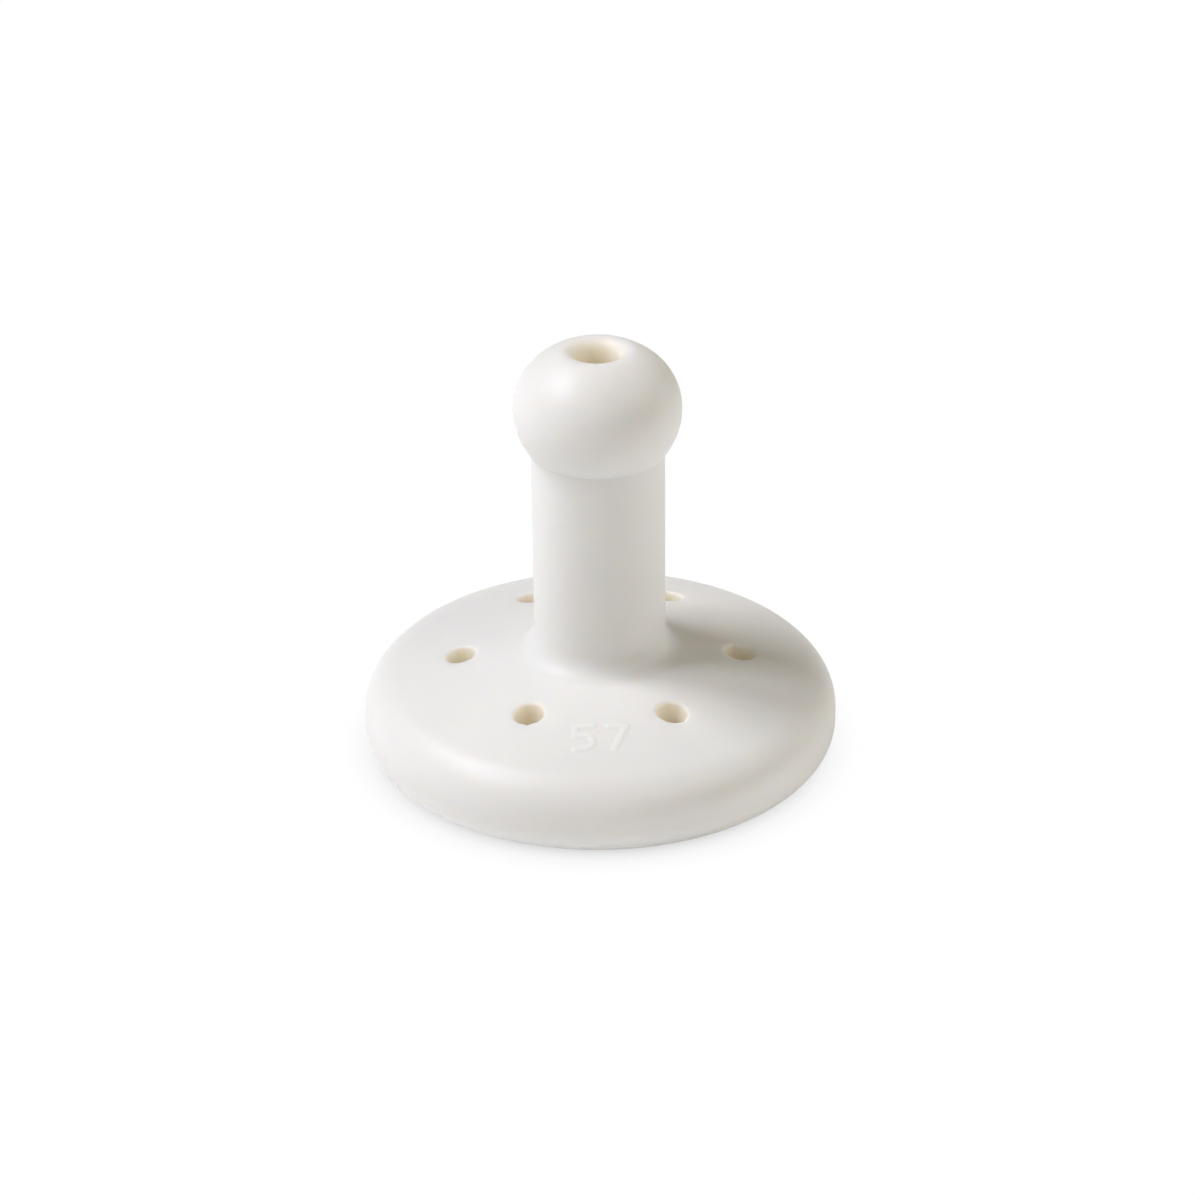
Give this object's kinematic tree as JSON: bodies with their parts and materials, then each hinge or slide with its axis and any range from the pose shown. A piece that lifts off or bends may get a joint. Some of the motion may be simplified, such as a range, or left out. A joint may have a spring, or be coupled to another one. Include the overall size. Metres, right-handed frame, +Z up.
{
  "type": "stem pessary",
  "caption": "Soft moulded disc with a rolled rim and drain holes, carrying a flexible hollow stem that ends in a round knob.",
  "frame": {"origin": "on the stem's axis, in the plane that the rim stands on", "axes": "+Z up the stem towards the knob, -Y towards the size mark"},
  "size_m": [0.0572, 0.0572, 0.052],
  "materials": {
    "silicone": "smooth semi-matte, slightly translucent off-white silicone"
  },
  "bodies": {
    "disc": {"rim": "silicone", "dome": "silicone", "size_mark": "silicone", "stem_root": "silicone"},
    "stem": {"stem": "silicone", "knob": "silicone"}
  },
  "joints": [
    {"name": "stem_bend", "type": "hinge", "parent": "disc", "child": "stem", "pos_m": [0, 0, 0.022], "axis": [1, 0, 0], "range_deg": [-45, 45], "stiffness_Nm_per_rad": 0.35, "deforming": ["stem_root"]}
  ]
}
